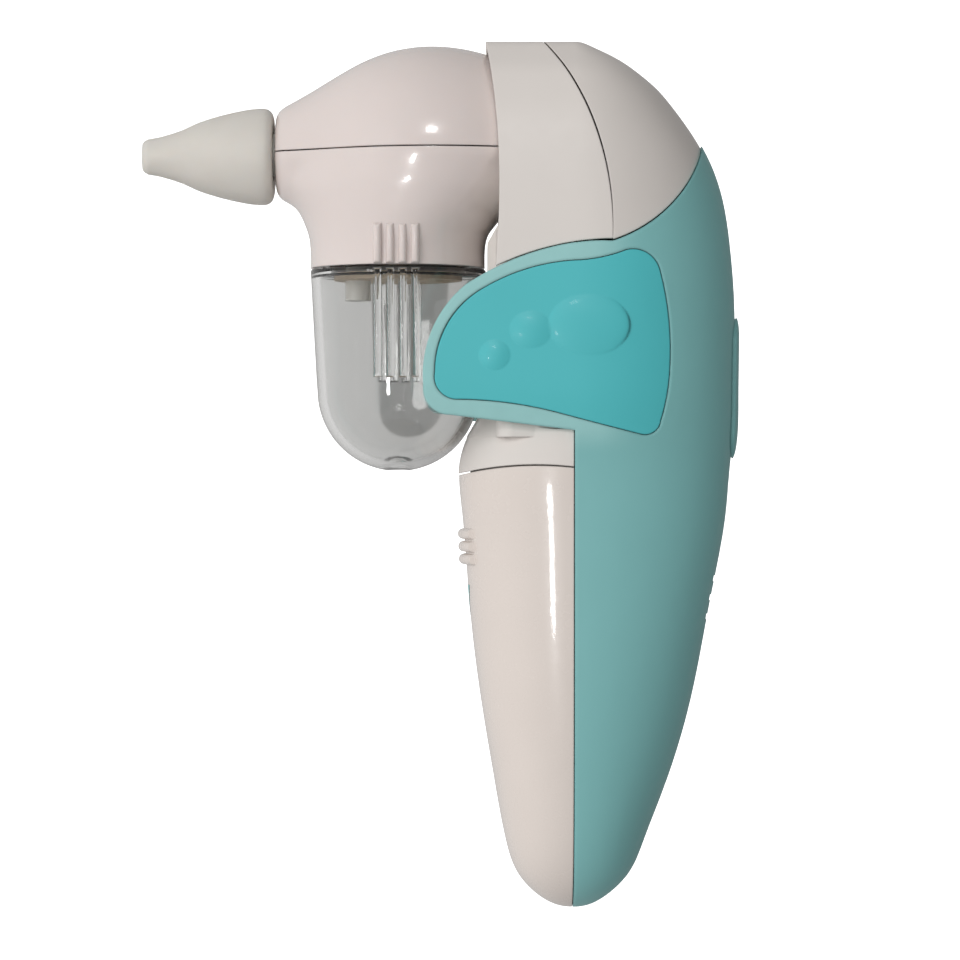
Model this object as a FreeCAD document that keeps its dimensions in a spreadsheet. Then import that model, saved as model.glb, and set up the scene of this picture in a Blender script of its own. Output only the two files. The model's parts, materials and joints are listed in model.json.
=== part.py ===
import FreeCAD, Part
import Sketcher
import math
import os
from FreeCAD import Placement, Rotation, Vector

# Battery nasal aspirator. Millimetres, +Z up, nozzle towards -X, back of the handle towards +X.
# The origin is the middle of the grip: x = 0 is the parting plane of the handle's two halves.

doc = FreeCAD.newDocument("nasal_aspirator")
sheet = doc.addObject("Spreadsheet::Sheet", "Sizes")

DRIVING = {
    "wall": 2.2, "seam_gap": 0.15, "proud": 0.5, "run_gap": 0.3,
    "collar_front": -16.8,
    "nozzle_height": 92.5, "tip_front": -81.9, "tip_back": -56.9, "tip_bore": 1.6,
    "spigot_radius": 4.05, "spigot_front": -66.5, "airway_radius": 2.0, "neck_radius": 7.3,
    "snout_middle": -27.0, "snout_front_reach": 30.0, "snout_back_reach": 27.0,
    "snout_half": 20.5, "snout_back": -13.4, "snout_wall": 1.8, "snout_power": 1.75,
    "cup_x": -33.2, "cup_rim": 70.5, "cup_rim_radius": 16.4, "cup_ball_radius": 15.1,
    "cup_ball_height": 47.7, "cup_wall": 1.6, "cup_neck_radius": 14.2, "cup_neck_top": 75.0,
    "cup_inlet_x": -40.8, "cup_inlet_radius": 2.5, "cup_inlet_end": 64.6,
    "rib_height": 0.7, "rib_width": 1.1, "rib_pitch": 2.35,
    "cell_radius": 7.15, "cell_length": 50.5, "cell_low": -24.5, "cell_side": 7.4, "cell_x": -2.5,
    "nub_radius": 2.75, "nub_length": 1.3,
    "door_top": 31.5, "ridge_low": 15.5, "ridge_pitch": 2.4, "ridge_radius": 1.0, "ridge_half": 9.0,
    "button_low": 34.5, "button_high": 61.5, "button_half": 6.0, "button_proud": 0.9,
    "button_travel": 0.8, "switch_height": 48.0,
    "motor_height": 80.0, "motor_radius": 8.0, "motor_front": 5.0, "motor_back": 23.0,
    "shaft_radius": 1.0, "crank_throw": 0.8, "crank_radius": 2.4,
    "rod_hole": 4.2, "rod_outer": 5.9, "rod_thick": 2.8,
    "pump_radius": 8.2, "pump_deck": 92.0, "port_height": 98.5, "port_radius": 3.05,
    "bulkhead_x": -12.6, "bulkhead_thick": 1.6,
    "board_x": 22.0, "board_thick": 1.6, "board_half": 10.0, "board_low": 36.0, "board_high": 66.0,
    "slot_height": 1.2, "slot_half": 4.5, "slot_pitch": 3.6, "slot_low": 4.0,
    "screw_height": -34.5, "screw_radius": 1.25, "lead_radius": 0.6,
}

# Head and handle: height, reach to the front, reach to the back and half width of each level
# section. The head has no front reach: it is carried straight forward to the collar.
BODY_SECTIONS = [(114.3, 0, 1.2, 3.6), (113.3, 0, 3.1, 7.4), (111.7, 0, 6.6, 10.8),
                 (109.0, 0, 11.4, 14.3), (106.0, 0, 15.2, 17.1), (102.0, 0, 19.0, 19.3),
                 (98.0, 0, 22.0, 20.7), (94.0, 0, 24.6, 21.4), (89.0, 0, 27.0, 21.9),
                 (83.0, 0, 28.8, 22.1), (75.0, 0, 30.0, 22.2),
                 (65.0, 15.0, 30.8, 22.2), (55.0, 15.5, 30.9, 22.2), (46.0, 15.9, 30.8, 21.9),
                 (40.0, 19.6, 30.7, 20.8), (34.0, 21.7, 30.1, 19.8), (24.0, 21.2, 29.2, 19.6),
                 (8.0, 19.9, 26.3, 19.4), (-10.0, 17.8, 22.8, 19.0), (-27.0, 15.0, 17.8, 17.6),
                 (-38.0, 12.9, 13.6, 15.4), (-44.0, 10.8, 10.9, 12.6), (-47.6, 7.8, 7.6, 9.2),
                 (-49.7, 4.8, 4.6, 5.6), (-50.6, 2.2, 2.0, 2.6)]
# Snout under the nozzle line: height, middle, front reach, back reach, half width, fullness.
SNOUT_SECTIONS = [(92.5, -27.0, 30.0, 27.0, 20.5, 1.75), (86.0, -28.6, 27.4, 22.0, 19.9, 1.85),
                  (80.0, -31.0, 20.4, 17.2, 18.5, 2.0), (75.0, -32.8, 17.0, 15.9, 17.1, 2.0),
                  (70.8, -33.2, 16.4, 16.4, 16.4, 2.0)]


def fill_sheet():
    rows = dict(DRIVING)
    for number, values in enumerate(BODY_SECTIONS):
        for word, value in zip(("level", "front", "back", "half"), values):
            rows[f"body_{number}_{word}"] = value
    for number, values in enumerate(SNOUT_SECTIONS):
        for word, value in zip(("level", "middle", "front", "back", "half", "power"), values):
            rows[f"snout_{number}_{word}"] = value
    for line, (name, value) in enumerate(rows.items(), start=1):
        sheet.set(f"A{line}", name)
        sheet.set(f"B{line}", str(value))
        sheet.setAlias(f"B{line}", name)
    doc.recompute()


fill_sheet()


def size(name):
    return float(getattr(sheet, name))


SUBPARTS = []
SIDES = (("right", -1), ("left", 1))
WIDE = 60.0          # half length of a cutter that passes right through the object
SECTION_STEPS = 7    # points on each quarter of a section curve


# ---------------------------------------------------------------- helpers

def keep(label, shape):
    """Add a piece whose form is lofted or cut by curved seams."""
    item = doc.addObject("Part::Feature", label)
    item.Label = label
    item.Shape = shape
    item.Placement = Placement()
    SUBPARTS.append(item)
    return item


def keep_object(item, label):
    item.Label = label
    SUBPARTS.append(item)
    return item


def rounded(reach, half, power, place):
    """Half of a superellipse, from one side round its far point to the other side."""
    points = []
    for step in range(-SECTION_STEPS, SECTION_STEPS + 1):
        turn = math.radians(90.0 * step / SECTION_STEPS)
        side = half * math.copysign(abs(math.sin(turn)) ** (2.0 / power), turn)
        far = reach * max(math.cos(turn), 0.0) ** (2.0 / power)
        points.append(place(far, side))
    curve = Part.BSplineCurve()
    curve.interpolate(points)
    return curve.toShape()


def half_section(reach, half, power, place):
    curve = rounded(reach, half, power, place)
    chord = Part.LineSegment(curve.valueAt(curve.LastParameter),
                             curve.valueAt(curve.FirstParameter)).toShape()
    return Part.Wire([curve, chord])


def level(height, direction, middle=0.0):
    return lambda far, side: Vector(middle + direction * far, side, height)


def body_rows():
    return [[size(f"body_{row}_{word}") for word in ("level", "front", "back", "half")]
            for row in range(len(BODY_SECTIONS))]


def rear_form(inset):
    """Everything behind the parting plane, from the crown down to the handle's foot."""
    wires = [half_section(back - inset, half - inset, 2.25, level(height, 1))
             for height, front, back, half in body_rows() if min(back, half) > inset + 1.0]
    return Part.makeLoft(wires, True, False)


def front_form(inset, top=41.0):
    """Front half of the handle from its shoulder down."""
    wires = [half_section(front - inset, min(half, 19.8) - inset, 2.25, level(height, -1))
             for height, front, back, half in body_rows()
             if height < top and min(front, half) > inset + 1.0]
    return Part.makeLoft(wires, True, False)


def parting_face(form):
    """The flat front of a rear form, as one plane face at x = 0."""
    flat = [face for face in form.Faces
            if abs(face.BoundBox.XMin) < 0.001 and abs(face.BoundBox.XMax) < 0.001]
    return Part.Face(max(flat, key=lambda face: face.Area).OuterWire)


def carried_forward(inset, length):
    return parting_face(rear_form(inset)).extrude(Vector(-length, 0, 0))


def head_block(inset):
    """Straight arch of the head between its front edge and the parting plane."""
    bar = carried_forward(inset, 1.0 - size("collar_front"))
    return bar.common(block((-30, -WIDE, 60.0), (0, WIDE, 120)))


def side_region(start, *moves):
    """Prism through the whole width, from an outline of lines and arcs in the XZ plane."""
    def spot(pair):
        return Vector(pair[0], -WIDE, pair[1])
    edges, here = [], start
    for move in moves:
        if len(move) == 2 and isinstance(move[0], tuple):
            edges.append(Part.Arc(spot(here), spot(move[0]), spot(move[1])).toShape())
            here = move[1]
        else:
            edges.append(Part.LineSegment(spot(here), spot(move)).toShape())
            here = move
    if (spot(here) - spot(start)).Length > 0.01:
        edges.append(Part.LineSegment(spot(here), spot(start)).toShape())
    return Part.Face(Part.Wire(edges)).extrude(Vector(0, 2 * WIDE, 0))


def block(low, high):
    corner = Vector(*low)
    return Part.makeBox(high[0] - low[0], high[1] - low[1], high[2] - low[2], corner)


def rod(radius, start, end):
    start, end = Vector(*start), Vector(*end)
    return Part.makeCylinder(radius, (end - start).Length, start, end - start)


def stadium(half, low, high, x_from, x_to):
    """Round-ended bar along X, upright in the YZ plane."""
    shape = block((x_from, -half, low + half), (x_to, half, high - half))
    for height in (low + half, high - half):
        shape = shape.fuse(rod(half, (x_from, 0, height), (x_to, 0, height)))
    return shape.removeSplitter()


def expression_box(label, low, high):
    """Part::Box whose corners are formulas on the sheet."""
    item = doc.addObject("Part::Box", label)
    for word, first, last in zip(("Length", "Width", "Height"), low, high):
        item.setExpression(word, f"({last}) - ({first})")
    for word, first in zip("xyz", low):
        item.setExpression(f".Placement.Base.{word}", first)
    return item


def expression_rod(label, radius, length, base, along):
    """Part::Cylinder along X, Y or Z, with formulas for its sizes and base point."""
    item = doc.addObject("Part::Cylinder", label)
    item.setExpression("Radius", radius)
    item.setExpression("Height", length)
    turns = {"X": Rotation(Vector(0, 1, 0), 90), "Y": Rotation(Vector(1, 0, 0), -90),
             "Z": Rotation()}
    item.Placement = Placement(Vector(), turns[along])
    for word, place in zip("xyz", base):
        item.setExpression(f".Placement.Base.{word}", place)
    return item


def joined(label, kind, *items):
    """Part::Cut of two pieces or Part::MultiFuse of several, kept as a sub-part."""
    if kind == "cut":
        item = doc.addObject("Part::Cut", label + "_cut")
        item.Base, item.Tool = items
    else:
        item = doc.addObject("Part::MultiFuse", label + "_fuse")
        item.Shapes = list(items)
    return item


def turned_body(label, outline, height):
    """PartDesign body turned about a level axis along X; outline holds (x, radius) formulas."""
    body = doc.addObject("PartDesign::Body", label + "_body")
    plane = next(f for f in body.Origin.OriginFeatures if f.Role == "XZ_Plane")
    sketch = body.newObject("Sketcher::SketchObject", label + "_profile")
    sketch.AttachmentSupport = (plane, [""])
    sketch.MapMode = "FlatFace"
    points = [Vector(float(sheet.evalExpression(x)), float(sheet.evalExpression(r)), 0)
              for x, r in outline]
    count = len(points)
    for number, point in enumerate(points):
        sketch.addGeometry(Part.LineSegment(point, points[(number + 1) % count]), False)
    for number in range(count):
        sketch.addConstraint(Sketcher.Constraint("Coincident", number, 2, (number + 1) % count, 1))
    for number, (x, radius) in enumerate(outline):
        across = sketch.addConstraint(
            Sketcher.Constraint("DistanceX", -1, 1, number, 1, points[number].x))
        sketch.setExpression(f"Constraints[{across}]", x)
        up = sketch.addConstraint(
            Sketcher.Constraint("DistanceY", -1, 1, number, 1, points[number].y))
        sketch.setExpression(f"Constraints[{up}]", radius)
    turn = body.newObject("PartDesign::Revolution", label + "_turn")
    turn.Profile = sketch
    turn.ReferenceAxis = (sketch, ["H_Axis"])
    turn.Angle = 360
    body.Tip = turn
    body.setExpression(".Placement.Base.z", height)
    return keep_object(body, label)


def lead(points, radius):
    """Insulated lead: straight runs joined by tangent arcs."""
    points = [Vector(*point) for point in points]
    edges, here = [], points[0]
    for before, corner, after in zip(points, points[1:], points[2:]):
        back = (before - corner).normalize()
        ahead = (after - corner).normalize()
        trim = 0.45 * min((before - corner).Length, (after - corner).Length)
        begin, finish = corner + back * trim, corner + ahead * trim
        half_turn = (math.pi - back.getAngle(ahead)) / 2
        arc_radius = trim / math.tan(half_turn)
        bisector = (back + ahead).normalize()
        centre = corner + bisector * (arc_radius / math.cos(half_turn))
        middle = centre - bisector * arc_radius
        edges.append(Part.LineSegment(here, begin).toShape())
        edges.append(Part.Arc(begin, middle, finish).toShape())
        here = finish
    edges.append(Part.LineSegment(here, points[-1]).toShape())
    path = Part.Wire(edges)
    section = Part.Wire(Part.makeCircle(radius, points[0], points[1] - points[0]))
    return path.makePipeShell([section], True, False)


def screw(head, direction, length, radius):
    """Pan-head screw: a low head and a plain shank, pointing along direction."""
    head, direction = Vector(*head), Vector(*direction)
    cap = Part.makeCylinder(radius * 1.9, radius * 1.1, head, direction)
    shank_start = head + direction * (radius * 1.1)
    shank = Part.makeCylinder(radius, length, shank_start, direction)
    slot = Part.makeBox(radius * 2.6, radius * 0.5, radius * 0.6,
                        Vector(-radius * 1.3, -radius * 0.25, -0.01))
    slot.Placement = Placement(head, Rotation(Vector(0, 0, 1), direction))
    return cap.fuse(shank).cut(slot)


def both_sides(shape):
    return shape.mirror(Vector(), Vector(0, 1, 0))


# ---------------------------------------------------------------- outer forms and seams

wall = size("wall")
gap = size("seam_gap")
proud = size("proud")

teal_outer = rear_form(0.0)
teal_inner = rear_form(wall)
head_outer = rear_form(proud).fuse(head_block(proud)).removeSplitter()
head_inner = rear_form(proud + wall).fuse(head_block(proud + wall)).removeSplitter()


def crown_region(shift):
    """Between the collar seam in front and the teal shell's edge behind."""
    return side_region((7.0, 74.9 + shift), ((3.9 + shift, 96.0), (-6.6 + shift, 114.4)),
                       (-8.6 + shift, 117.5), (40, 117.5), (40, 99.0 + shift),
                       (25.2, 99.0 + shift), ((19.0, 83.0 + shift), (7.0, 74.9 + shift)))


def front_region(shift):
    """Collar, neck and the shoulder over the battery door."""
    return side_region((-8.6 - shift, 117.5), (-6.6 - shift, 114.4),
                       ((3.9 - shift, 96.0), (7.0, 74.9 - shift)), (-shift, 74.2),
                       (-shift, 33.0), ((-11.0, 33.3), (-24.0, size("door_top") - 0.4)),
                       (-30, 31.0), (-30, 117.5))


def rear_region(shift):
    """Teal shell behind the parting plane and under the crown."""
    return side_region((7.0, 74.9 - shift), ((19.0, 83.0 - shift), (25.2, 99.0 - shift)),
                       (45, 99.0 - shift), (45, -60), (0, -60), (0, 74.4),
                       ((3.5, 74.75), (7.0, 74.9 - shift)))


def ear_region(grow):
    """Outline of the flap that reaches forward beside the cup."""
    return side_region((8.0, 75.0 + grow), ((-9.6, 72.0 + grow), (-20.3 - grow, 66.6 + grow)),
                       ((-27.0 - grow, 57.0), (-28.1 - grow, 48.0)),
                       ((-26.9 - grow, 44.2 - grow), (-23.2, 42.6 - grow)),
                       (-0.4, 39.8 - grow), (8.0, 38.6 - grow))


def blade(inset):
    """Flap forward of the parting plane: the teal shell's side carried straight on."""
    return carried_forward(inset, 30.0).common(block((-30, 18.95, 37.5), (0, WIDE, 76.0)))


def inlay_region(grow):
    return side_region((-25.9 - grow, 50.5), ((-23.6 - grow, 59.3 + grow), (-17.0, 65.9 + grow)),
                       ((-9.0, 69.45 + grow), (1.0, 71.1 + grow)),
                       ((5.6, 71.8 + grow), (9.4, 73.0 + grow)),
                       ((13.2, 72.6 + grow), (15.7 + grow, 69.4)),
                       ((17.3 + grow, 61.0), (17.6 + grow, 52.5)),
                       ((17.1 + grow, 46.8), (15.9 + grow, 41.6)),
                       ((14.7, 39.5 - grow), (12.2, 39.1 - grow)),
                       ((5.0, 40.9 - grow), (-3.0, 43.0 - grow)),
                       ((-12.0, 44.8 - grow), (-21.4, 45.5 - grow)),
                       ((-24.8 - grow, 46.7), (-25.9 - grow, 50.5)))


# ---------------------------------------------------------------- housing

def make_crown_cover():
    shell = head_outer.cut(head_inner).common(crown_region(gap))
    return keep("crown_cover", shell)


def make_front_housing():
    shell = head_outer.cut(head_inner).common(front_region(gap))
    shell = shell.cut(block((-40, -WIDE, -60), (10, WIDE, 64)))
    nose = front_form(0.2, 47.0).cut(front_form(wall, 47.0)).common(front_region(gap))
    nose = nose.cut(block((-40, -WIDE, 42.2), (10, WIDE, 60)))
    lip = front_form(2.35, 41.5).cut(front_form(3.6, 41.5))
    lip = lip.common(block((-30, -30, 29.5), (-0.4, 30, 34.8)))
    web = side_region((-16.2, 60.0), (-16.2, 75.0), (-14.4, 78.2), (-13.6, 78.2), (-13.6, 60.0))
    web = web.common(block((-20, -11, 50), (0, 11, 90)))
    neck = block((-14.6, -18.6, 38.5), (-gap, 18.6, 77.0))
    neck = neck.makeFillet(3.0, [edge for edge in neck.Edges
                                 if edge.BoundBox.XMax < -14 and edge.BoundBox.ZLength > 20])
    neck = neck.cut(block((-13.0, -16.8, 33.0), (1, 16.8, 80.0)))
    shelf = block((-11.5, 16.8, 75.6), (-0.4, 20.6, 77.0))
    deck = front_form(0.2, 41.5).common(block((-30, -30, 38.6), (-gap, 30, 40.0)))
    deck = deck.cut(block((-13.4, -16.8, 30.0), (1, 16.8, 45.0)))
    floor = front_form(wall - 0.2, 41.5).common(block((-30, -30, 33.4), (-gap, 30, 34.8)))
    floor = floor.cut(block((-6, -14, 30), (1, 14, 40)))
    flaps = ear_region(0.25).common(block((-40, -WIDE, 35), (9, -18.7, 80)))
    flaps = flaps.fuse(both_sides(flaps))
    mouth = side_region((-25, 120), (-16.8, 114.6), ((-14.3, 95.0), (-14.3, 76.0)),
                        ((-14.8, 68.0), (-15.2, 62.0)), (-25, 62.0))
    shell = shell.cut(mouth).cut(flaps)
    nose = nose.cut(flaps)
    whole = shell.fuse([nose, neck, deck, floor, lip, web, shelf, both_sides(shelf)])
    whole = whole.removeSplitter()
    return keep("front_housing", whole)


def make_rear_shell():
    ears = blade(0.0).common(ear_region(0.0))
    shell = teal_outer.cut(teal_inner).common(rear_region(gap))
    half = shell.fuse(ears).fuse(both_sides(ears)).removeSplitter()
    pocket = inlay_band(0.15, 1.0)
    half = half.cut(pocket).cut(both_sides(pocket))
    button_hole = stadium(size("button_half") + 0.3, size("button_low") - 0.3,
                          size("button_high") + 0.3, 20, 45)
    half = half.cut(button_hole)
    for number in range(3):
        low = size("slot_low") + number * size("slot_pitch")
        half = half.cut(block((15, -size("slot_half"), low),
                              (40, size("slot_half"), low + size("slot_height"))))
    recess = rod(3.2, (11.2, 0, size("screw_height")), (40, 0, size("screw_height")))
    post = rod(4.4, (4.0, 0, size("screw_height")), (40, 0, size("screw_height")))
    post = post.common(rear_form(0.6))
    through = rod(size("screw_radius"), (3, 0, size("screw_height")),
                  (40, 0, size("screw_height")))
    return keep("rear_shell", half.fuse(post).removeSplitter().cut(recess).cut(through))


def inlay_band(grow, depth):
    """Left inlay's space: a skin of the ear and shell inside the inlay outline."""
    region = inlay_region(grow).common(block((-40, 8, 20), (40, WIDE, 90)))
    outer = region.common(teal_outer.fuse(blade(0.0)))
    ahead = blade(depth).fuse(block((-40, 0, 30), (0, 19.0, 80)))
    return outer.cut(rear_form(depth)).cut(ahead)


def make_inlays():
    inlay = inlay_band(0.0, 0.8)
    keep("ear_inlay_left", inlay)
    keep("ear_inlay_right", both_sides(inlay))


def make_battery_door():
    region = side_region((-0.15, 32.75), ((-11.0, 33.0), (-24.0, size("door_top") - 0.7)),
                         (-30, 30), (-30, -60), (-0.15, -60))
    door = front_form(0.2, 41.5).cut(front_form(2.0, 41.5)).common(region)
    for number in range(3):
        height = size("ridge_low") + number * size("ridge_pitch")
        front = -20.65 - 0.04 * (height - size("ridge_low"))
        bar = Part.makeTorus(21.0, size("ridge_radius"), Vector(front + 21.0, 0, height))
        bar = bar.common(block((-30, -size("ridge_half"), -60), (0, size("ridge_half"), 60)))
        door = door.fuse(bar.cut(front_form(1.0, 41.5)))
    return keep("battery_door", door.removeSplitter())


def make_bulkhead():
    back, thick = size("bulkhead_x"), size("bulkhead_thick")
    plate = head_block(proud + wall + 0.05)
    plate = plate.common(block((back, -30, 73.3), (back + thick, 30, 120)))
    hole = rod(size("port_radius") + 1.4, (-20, 0, size("port_height")),
               (0, 0, size("port_height")))
    plate = plate.cut(both_sides(block((back - 1, 16.7, 70.0), (0, WIDE, 77.1))))
    plate = plate.cut(block((back - 1, 16.7, 70.0), (0, WIDE, 77.1)))
    return keep("collar_bulkhead", plate.cut(hole))


# ---------------------------------------------------------------- snout

def snout_form(inset):
    """Loft under the nozzle line: an ogive above turning into the cup's round rim."""
    wires = []
    for row in range(len(SNOUT_SECTIONS)):
        height, middle, front, back, half, power = [
            size(f"snout_{row}_{word}")
            for word in ("level", "middle", "front", "back", "half", "power")]
        ahead = rounded(front - inset, half - inset, power, level(height, -1, middle))
        behind = rounded(back - inset, half - inset, 2.0, level(height, 1, middle))
        wires.append(Part.Wire([ahead, behind]))
    return Part.makeLoft(wires, True, False)


def ogive(inset):
    """Upper snout: the nozzle-line outline turned about the nozzle axis."""
    height, middle = size("nozzle_height"), size("snout_middle")
    half = size("snout_half") - inset
    ahead = rounded(size("snout_front_reach") - inset, half, size("snout_power"),
                    level(height, -1, middle))
    behind = rounded(size("snout_back_reach") - inset, half, 2.0, level(height, 1, middle))
    plate = Part.Face(Part.Wire([ahead, behind])).common(
        block((-80, 0, height - 1), (20, 60, height + 1)))
    return plate.revolve(Vector(0, 0, height), Vector(1, 0, 0), 180)


def neck_ring(low):
    height = size("nozzle_height")
    radius = size("neck_radius")
    ring = rod(radius, (-56.6, 0, height), (-50.0, 0, height))
    half = block((-60, -30, height - 40), (-40, 30, height)) if low else \
        block((-60, -30, height), (-40, 30, height + 40))
    return ring.common(half)


def make_snout_shells():
    height, thick, back = size("nozzle_height"), size("snout_wall"), size("snout_back")
    keep_ahead = block((-56.6, -40, 60), (back, 40, 130))
    bore = rod(size("spigot_radius"), (-70, 0, height), (-30, 0, height))
    upper = ogive(0.0).cut(ogive(thick))
    upper = upper.fuse(neck_ring(False)).cut(ogive(thick)).common(keep_ahead)
    upper = upper.common(block((-80, -40, height + 0.12), (0, 40, 130))).cut(bore)
    keep("snout_upper_shell", upper.removeSplitter())
    lower = snout_form(0.0).fuse(neck_ring(True)).cut(snout_form(thick)).common(keep_ahead)
    lower = lower.cut(bore)
    step = rod(size("cup_neck_radius") + 0.3, (size("cup_x"), 0, 60), (size("cup_x"), 0, 73))
    lower = lower.cut(step).common(block((-80, -40, 70.8), (0, 40, height)))
    lower = lower.fuse(rib_group(71.4, 78.0, 16.2, 17.0)).cut(step)
    lower = lower.cut(snout_form(thick))
    keep("snout_lower_shell", lower.removeSplitter())


def rib_group(low, high, low_reach, high_reach):
    """Upright grip ribs on both sides, centred on the cup's axis."""
    ribs = None
    for number in range(4):
        along = size("cup_x") + (number - 1.5) * size("rib_pitch")
        half = size("rib_width") / 2
        foot = 13.6
        outer_low = low_reach + size("rib_height")
        outer_high = high_reach + size("rib_height")
        outline = Part.makePolygon([Vector(along - half, foot, low),
                                    Vector(along - half, outer_low, low),
                                    Vector(along - half, outer_high, high),
                                    Vector(along - half, foot, high),
                                    Vector(along - half, foot, low)])
        bar = Part.Face(outline).extrude(Vector(2 * half, 0, 0))
        for side in (bar, both_sides(bar)):
            ribs = side if ribs is None else ribs.fuse(side)
    return ribs


def make_airway():
    """Nozzle spigot, level airway and the inlet tube that drops into the cup."""
    height, radius = size("nozzle_height"), size("spigot_radius")
    inlet_x, inlet_radius = size("cup_inlet_x"), size("cup_inlet_radius")
    end = size("cup_inlet_end")
    body = rod(radius, (size("spigot_front"), 0, height), (inlet_x + 3.5, 0, height))
    body = body.fuse(rod(6.0, (-50.0, 0, height), (-48.4, 0, height)))
    body = body.fuse(rod(inlet_radius, (inlet_x, 0, end), (inlet_x, 0, height)))
    bore = rod(size("airway_radius"), (size("spigot_front") - 1, 0, height),
               (inlet_x, 0, height))
    drop = rod(inlet_radius - 0.8, (inlet_x, 0, end - 1), (inlet_x, 0, height))
    keep("airway_insert", body.removeSplitter().cut(bore).cut(drop))


def make_snout_fittings():
    back, height = size("snout_back"), size("port_height")
    cup_x = size("cup_x")
    plate = ogive(size("snout_wall") + 0.05).fuse(
        snout_form(size("snout_wall") + 0.05).common(block((-40, -40, 80), (0, 40, 92.5))))
    plate = plate.common(block((back - 1.6, -40, 82.0), (back, 40, 130)))
    nipple_hole = rod(size("port_radius") - 0.1, (-40, 0, height), (0, 0, height))
    keep("snout_back_plate", plate.cut(nipple_hole))
    nipple = doc.addObject("Part::Cut", "suction_nipple_tube")
    nipple.Base = expression_rod("nipple_outside", "Sizes.port_radius - 0.1", "9",
                                 ("Sizes.snout_back - 7", "0", "Sizes.port_height"), "X")
    nipple.Tool = expression_rod("nipple_bore", "Sizes.port_radius - 1.2", "12",
                                 ("Sizes.snout_back - 8", "0", "Sizes.port_height"), "X")
    keep_object(nipple, "suction_nipple")
    baffle = rod(12.2, (cup_x, 0, 68.4), (cup_x, 0, 69.8))
    baffle = baffle.cut(rod(size("cup_inlet_radius"), (size("cup_inlet_x"), 0, 60),
                            (size("cup_inlet_x"), 0, 90)))
    for angle in (-60, 0, 60):
        lean = math.radians(angle)
        place = (cup_x + 8.6 * math.cos(lean), 8.6 * math.sin(lean))
        baffle = baffle.cut(rod(1.6, (*place, 60), (*place, 80)))
    keep("splash_baffle", baffle)
    seal = doc.addObject("Part::Cut", "cup_seal_ring_cut")
    seal.Base = expression_rod("seal_outside", "Sizes.cup_neck_radius", "1.4",
                               ("Sizes.cup_x", "0", "Sizes.cup_neck_top + 0.05"), "Z")
    seal.Tool = expression_rod("seal_bore", "Sizes.cup_neck_radius - 1.5", "4",
                               ("Sizes.cup_x", "0", "Sizes.cup_neck_top - 1"), "Z")
    keep_object(seal, "cup_seal_ring")


def make_nose_tip():
    """Soft tip: a slim mouth that flares into a rounded collar over the spigot."""
    height = size("nozzle_height")
    front, back, bore = size("tip_front"), size("tip_back"), size("tip_bore")

    def spot(along, radius):
        return Vector(along, radius, height)

    flare = Part.BSplineCurve()
    flare.interpolate([spot(front + 1.2, 3.35), spot(front + 4.4, 3.95), spot(front + 9.4, 6.0),
                       spot(front + 15.5, 7.95), spot(front + 22.3, 9.2)])
    rim = Part.Arc(spot(front, bore + 0.7), spot(front + 0.35, 3.05), spot(front + 1.2, 3.35))
    shoulder = Part.Arc(spot(front + 22.3, 9.2), spot(back - 0.5, 8.55), spot(back, 7.2))
    socket = size("spigot_radius") + 0.03
    inner = [spot(back, 7.2), spot(back, socket), spot(size("spigot_front") - 0.6, socket),
             spot(front + 6.0, bore), spot(front + 0.7, bore), spot(front, bore + 0.7)]
    edges = [rim.toShape(), flare.toShape(), shoulder.toShape()] + \
        Part.makePolygon(inner).Edges
    face = Part.Face(Part.Wire(edges))
    keep("nose_tip", face.revolve(Vector(0, 0, height), Vector(1, 0, 0), 360))


def make_cup():
    """Clear cup: tapering wall, round bottom with a small dimple, and ribs on its sides."""
    cup_x, rim = size("cup_x"), size("cup_rim")
    wide, ball = size("cup_rim_radius"), size("cup_ball_radius")
    middle, thick = size("cup_ball_height"), size("cup_wall")
    neck, top = size("cup_neck_radius"), size("cup_neck_top")

    def profile(grow):
        corner = math.sqrt(0.5) * (ball - grow)
        arc = Part.Arc(Vector(ball - grow, 0, middle),
                       Vector(corner, 0, middle - corner),
                       Vector(0, 0, middle - ball + grow)).toShape()
        return arc

    outer_line = [Vector(0, 0, top), Vector(neck, 0, top), Vector(neck, 0, rim),
                  Vector(wide, 0, rim), Vector(ball, 0, middle)]
    inner_line = [Vector(0, 0, top + 1), Vector(neck - 1.3, 0, top + 1),
                  Vector(neck - 1.3, 0, rim - 1), Vector(wide - thick - 0.2, 0, rim - 3),
                  Vector(ball - thick, 0, middle)]
    solids = []
    for line, grow in ((outer_line, 0.0), (inner_line, thick)):
        arc = profile(grow)
        close = Part.LineSegment(Vector(0, 0, middle - ball + grow), line[0]).toShape()
        face = Part.Face(Part.Wire(Part.makePolygon(line).Edges + [arc, close]))
        solid = face.revolve(Vector(), Vector(0, 0, 1), 360)
        solids.append(solid.translated(Vector(cup_x, 0, 0)))
    ribs = rib_group(50.0, rim - 0.3, 15.2, 16.35)
    centre = Vector(cup_x, 0, middle - ball - 1.2)
    bump = Part.makeSphere(2.6 + thick, centre)
    bump = bump.common(rod(ball / 2, (cup_x, 0, middle - ball + 0.8), (cup_x, 0, middle)))
    cup = solids[0].fuse(ribs).cut(solids[1]).fuse(bump)
    keep("collection_cup", cup.cut(Part.makeSphere(2.6, centre)).removeSplitter())


# ---------------------------------------------------------------- button and switch

def make_button():
    face = stadium(size("button_half"), size("button_low"), size("button_high"), 22, 45)
    cap = face.common(rear_form(-size("button_proud"))).cut(rear_form(1.6))
    height = size("switch_height")
    post = rod(1.4, (27.3, 0, height), (30.4, 0, height))
    keep("power_button", cap.fuse(post).removeSplitter())


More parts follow.
